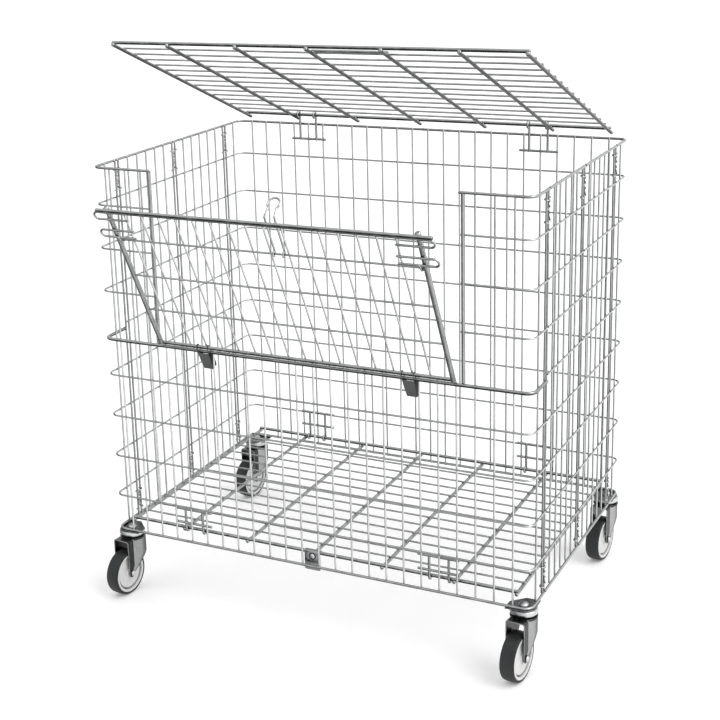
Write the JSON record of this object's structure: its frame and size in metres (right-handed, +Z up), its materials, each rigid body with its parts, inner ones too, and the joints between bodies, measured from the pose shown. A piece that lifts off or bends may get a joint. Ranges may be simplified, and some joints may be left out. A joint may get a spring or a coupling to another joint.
{
  "type": "roll container",
  "caption": "Folding wire roll container: welded mesh walls, hinged mesh lid, drop flap in the front, lift-up mesh floor and swivel castors.",
  "frame": {"origin": "on the floor, under the middle of the cage", "axes": "+Z up, +Y towards the back wall, -Y the front with the flap, +X to the right seen from the front"},
  "size_m": [1.0169, 0.846, 1.276],
  "materials": {
    "zinc_wire": "bright zinc plate",
    "pressed_zinc": "zinc plate",
    "dark_lug": "satin black",
    "grey_rubber": "matte",
    "pale_hub": "moulded"
  },
  "bodies": {
    "cage": {"back_panel": "zinc_wire", "front_panel": "zinc_wire", "front_wing_left": "zinc_wire", "front_wing_right": "zinc_wire", "back_wing_left": "zinc_wire", "back_wing_right": "zinc_wire", "front_post_left": "zinc_wire", "front_post_right": "zinc_wire", "front_leaf_left": "zinc_wire", "front_leaf_right": "zinc_wire", "back_leaf_left": "zinc_wire", "back_leaf_right": "zinc_wire", "hinge_clip_left_front_top": "zinc_wire", "hinge_clip_left_front_foot": "zinc_wire", "hinge_clip_left_middle_top": "zinc_wire", "hinge_clip_left_middle_foot": "zinc_wire", "hinge_clip_left_back_top": "zinc_wire", "hinge_clip_left_back_foot": "zinc_wire", "hinge_clip_right_front_top": "zinc_wire", "hinge_clip_right_front_foot": "zinc_wire", "hinge_clip_right_middle_top": "zinc_wire", "hinge_clip_right_middle_foot": "zinc_wire", "hinge_clip_right_back_top": "zinc_wire", "hinge_clip_right_back_foot": "zinc_wire", "lid_bracket_left": "zinc_wire", "lid_bracket_right": "zinc_wire", "floor_eye_left": "zinc_wire", "floor_eye_right": "zinc_wire", "floor_hook_left": "zinc_wire", "floor_hook_right": "zinc_wire", "castor_mount_front_left": "pressed_zinc", "castor_mount_front_right": "pressed_zinc", "castor_mount_back_left": "pressed_zinc", "castor_mount_back_right": "pressed_zinc"},
    "lid": {"lid": "zinc_wire"},
    "flap": {"flap": "zinc_wire", "flap_lug_left": "dark_lug", "flap_lug_right": "dark_lug"},
    "latch_left": {"flap_latch_left": "zinc_wire"},
    "latch_right": {"flap_latch_right": "zinc_wire"},
    "lid_catch": {"lid_catch": "zinc_wire"},
    "floor": {"floor": "zinc_wire", "floor_plate": "pressed_zinc", "floor_rivet": "pressed_zinc"},
    "castor_front_left": {"castor_fork_front_left": "pressed_zinc", "castor_axle_front_left": "pressed_zinc"},
    "wheel_front_left": {"castor_tyre_front_left": "grey_rubber", "castor_hub_front_left": "pale_hub"},
    "castor_front_right": {"castor_fork_front_right": "pressed_zinc", "castor_axle_front_right": "pressed_zinc"},
    "wheel_front_right": {"castor_tyre_front_right": "grey_rubber", "castor_hub_front_right": "pale_hub"},
    "castor_back_left": {"castor_fork_back_left": "pressed_zinc", "castor_axle_back_left": "pressed_zinc"},
    "wheel_back_left": {"castor_tyre_back_left": "grey_rubber", "castor_hub_back_left": "pale_hub"},
    "castor_back_right": {"castor_fork_back_right": "pressed_zinc", "castor_axle_back_right": "pressed_zinc"},
    "wheel_back_right": {"castor_tyre_back_right": "grey_rubber", "castor_hub_back_right": "pale_hub"}
  },
  "joints": [
    {"name": "lid_hinge", "type": "hinge", "parent": "cage", "child": "lid", "pos_m": [0, 0.3076, 1.035], "axis": [-1, 0, 0], "range_deg": [-22.5, 200]},
    {"name": "flap_hinge", "type": "hinge", "parent": "cage", "child": "flap", "pos_m": [0, -0.325, 0.619], "axis": [-1, 0, 0], "range_deg": [0, 26.9]},
    {"name": "catch_swing", "type": "hinge", "parent": "flap", "child": "lid_catch", "pos_m": [0.028, -0.4639, 0.89278], "axis": [-1, 0, 0], "range_deg": [0, 60]},
    {"name": "latch_left_slide", "type": "slide", "parent": "flap", "child": "latch_left", "axis": [1, 0, 0], "range_m": [0, 0.02]},
    {"name": "latch_right_slide", "type": "slide", "parent": "flap", "child": "latch_right", "axis": [-1, 0, 0], "range_m": [0, 0.02]},
    {"name": "floor_lift", "type": "hinge", "parent": "cage", "child": "floor", "pos_m": [0, 0.3076, 0.182], "axis": [-1, 0, 0], "range_deg": [0, 85]},
    {"name": "swivel_front_left", "type": "hinge", "parent": "cage", "child": "castor_front_left", "pos_m": [-0.478, -0.303, 0.1354], "axis": [0, 0, 1], "continuous": true},
    {"name": "spin_front_left", "type": "hinge", "parent": "castor_front_left", "child": "wheel_front_left", "pos_m": [-0.48145, -0.33582, 0.0525], "axis": [0.9945, -0.1045, 0], "continuous": true},
    {"name": "swivel_front_right", "type": "hinge", "parent": "cage", "child": "castor_front_right", "pos_m": [0.478, -0.303, 0.1354], "axis": [0, 0, 1], "continuous": true},
    {"name": "spin_front_right", "type": "hinge", "parent": "castor_front_right", "child": "wheel_front_right", "pos_m": [0.47455, -0.33582, 0.0525], "axis": [0.9945, -0.1045, 0], "continuous": true},
    {"name": "swivel_back_left", "type": "hinge", "parent": "cage", "child": "castor_back_left", "pos_m": [-0.478, 0.303, 0.1354], "axis": [0, 0, 1], "continuous": true},
    {"name": "spin_back_left", "type": "hinge", "parent": "castor_back_left", "child": "wheel_back_left", "pos_m": [-0.48145, 0.27018, 0.0525], "axis": [0.9945, -0.1045, 0], "continuous": true},
    {"name": "swivel_back_right", "type": "hinge", "parent": "cage", "child": "castor_back_right", "pos_m": [0.478, 0.303, 0.1354], "axis": [0, 0, 1], "continuous": true},
    {"name": "spin_back_right", "type": "hinge", "parent": "castor_back_right", "child": "wheel_back_right", "pos_m": [0.47455, 0.27018, 0.0525], "axis": [0.9945, -0.1045, 0], "continuous": true}
  ]
}
